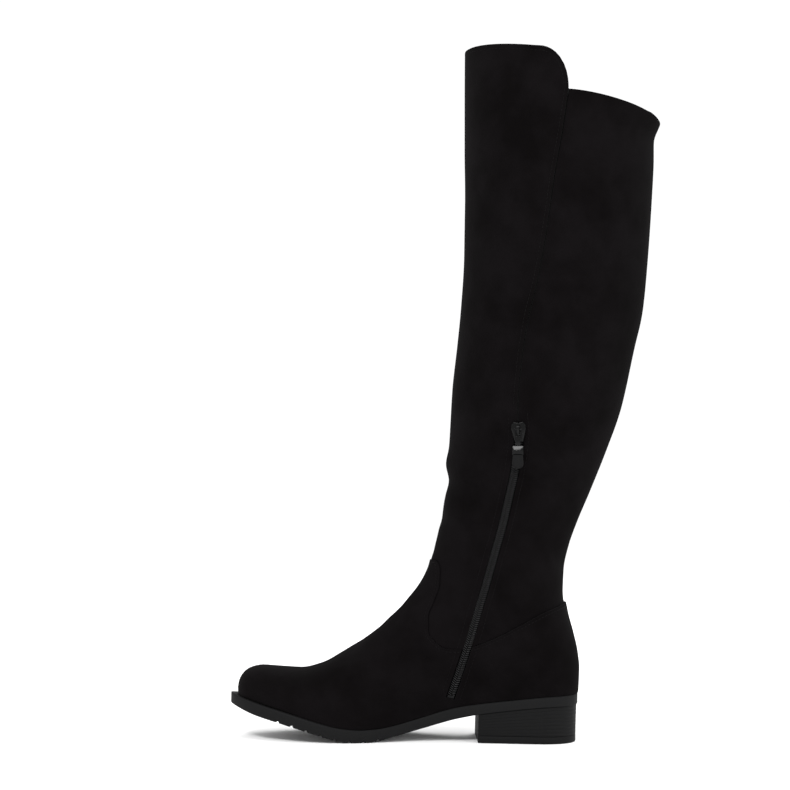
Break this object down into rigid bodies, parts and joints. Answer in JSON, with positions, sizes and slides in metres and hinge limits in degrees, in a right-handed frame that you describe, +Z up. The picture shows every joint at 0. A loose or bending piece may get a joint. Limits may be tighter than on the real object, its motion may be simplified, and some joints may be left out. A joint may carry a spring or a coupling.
{
  "type": "knee-high boot",
  "caption": "Right-foot knee-high boot in suede cloth with a low block heel, a lugged sole, a short inner zip and a full-length outer zip.",
  "frame": {"origin": "on the floor, under the middle of the heel block's length", "axes": "+Z up the shaft, -X towards the toe, -Y towards the inner side of the foot"},
  "size_m": [0.3215, 0.1305, 0.5293],
  "materials": {
    "suede": "black suede-look microfibre, soft nap",
    "lining": "black woven textile",
    "sole_rubber": "matte moulded rubber",
    "heel": "moulded, with fine level lift lines",
    "coil": "black nylon coil on woven tape",
    "zip_tape": "woven tape under gold metal teeth",
    "black_metal": "glossy black",
    "grip": "soft moulded grip",
    "gold_metal": "polished light gold"
  },
  "bodies": {
    "root": {"upper": "suede", "shaft": "suede", "insole": "lining", "outsole": "sole_rubber", "heel_block": "heel", "top_piece": "sole_rubber", "inner_zip": "coil", "inner_slider": "black_metal", "outer_zip": "zip_tape", "outer_slider": "gold_metal"},
    "inner_pull": {"inner_pull_link": "black_metal", "inner_pull_grip": "grip"},
    "outer_pull": {"outer_pull": "gold_metal"}
  },
  "joints": [
    {"name": "inner_pull_swing", "type": "hinge", "parent": "root", "child": "inner_pull", "pos_m": [-0.01312, -0.05253, 0.23736], "axis": [-0.9809, 0.1943, 0], "range_deg": [0, 140]},
    {"name": "outer_pull_swing", "type": "hinge", "parent": "root", "child": "outer_pull", "pos_m": [0.03891, 0.06477, 0.47619], "axis": [0.9821, -0.1881, 0], "range_deg": [0, 140]}
  ]
}
